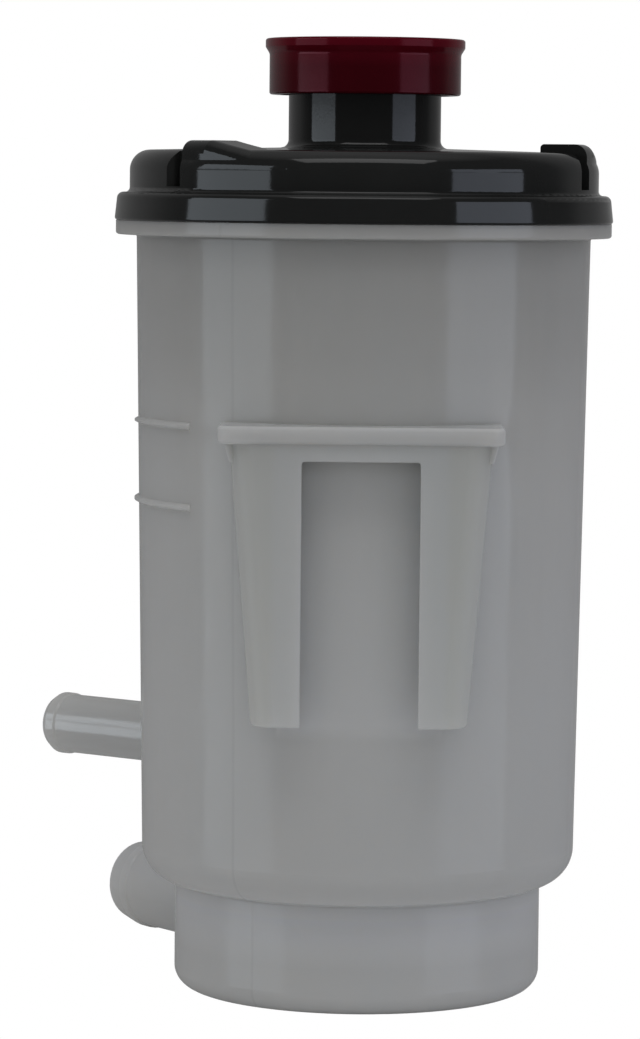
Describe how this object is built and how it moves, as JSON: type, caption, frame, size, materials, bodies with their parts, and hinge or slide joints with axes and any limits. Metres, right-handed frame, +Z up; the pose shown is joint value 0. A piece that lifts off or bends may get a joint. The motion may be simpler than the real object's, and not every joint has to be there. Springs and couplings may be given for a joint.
{
  "type": "power steering reservoir",
  "caption": "Remote power steering fluid reservoir: translucent tank with two hose stubs and a stay pocket, welded black lid, red screw cap and an inner strainer.",
  "frame": {"origin": "centre of the flat underside of the drum at the tank's foot", "axes": "+Z up along the tank's axis, -Y towards the side with the stay pocket, +X to the right seen from that side"},
  "size_m": [0.1166, 0.1193, 0.1903],
  "materials": {
    "tank_plastic": "milky translucent, glossy",
    "lid_plastic": "glossy black",
    "cap_plastic": "glossy dark red",
    "seal_rubber": "matt black",
    "inner_plastic": "natural white",
    "mesh_steel": "fine woven mesh"
  },
  "bodies": {
    "root": {"tank": "tank_plastic", "lid": "lid_plastic", "strainer_frame": "inner_plastic", "strainer_mesh": "mesh_steel", "strainer_ring": "inner_plastic", "splash_baffle": "inner_plastic"},
    "cap_core": {"cap_seal": "seal_rubber", "cap_vent_disc": "inner_plastic"},
    "cap": {"cap_shell": "cap_plastic"}
  },
  "joints": [
    {"name": "cap_lift", "type": "slide", "parent": "root", "child": "cap_core", "axis": [0, 0, 1], "range_m": [0, 0.025]},
    {"name": "cap_turn", "type": "hinge", "parent": "cap_core", "child": "cap", "pos_m": [0, 0, 0.185], "axis": [0, 0, 1], "range_deg": [0, 720.5]}
  ],
  "couplings": [
    {"joint": "cap_turn", "follows": "cap_lift", "rad_per_m": 502.65}
  ]
}
